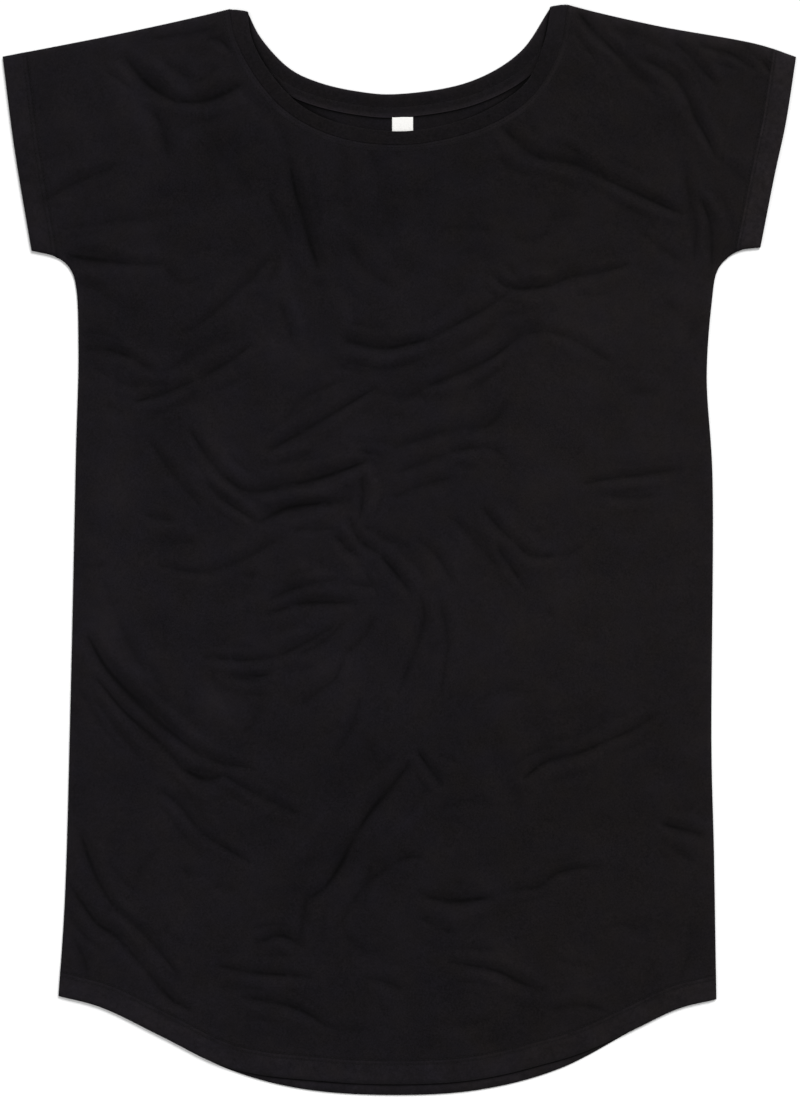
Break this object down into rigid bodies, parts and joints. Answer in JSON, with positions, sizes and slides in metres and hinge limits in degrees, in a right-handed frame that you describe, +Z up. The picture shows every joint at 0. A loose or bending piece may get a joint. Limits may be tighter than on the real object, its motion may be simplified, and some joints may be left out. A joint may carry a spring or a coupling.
{
  "type": "t-shirt dress",
  "caption": "Short-sleeved jersey dress with a scoop neck and a rounded hem, laid flat on its back, face up.",
  "frame": {"origin": "middle of the laid garment's outline, on the surface that it lies on", "axes": "+X to the right in the picture, +Y from the hem towards the neck, +Z up out of the front"},
  "size_m": [0.6517, 0.8958, 0.0067],
  "materials": {
    "black_jersey": "matte single jersey",
    "label_white": "smooth woven tape"
  },
  "bodies": {
    "root": {"front_panel": "black_jersey", "back_panel": "black_jersey", "neckband": "black_jersey", "back_neck_tape": "black_jersey", "size_label": "label_white"}
  },
  "joints": []
}
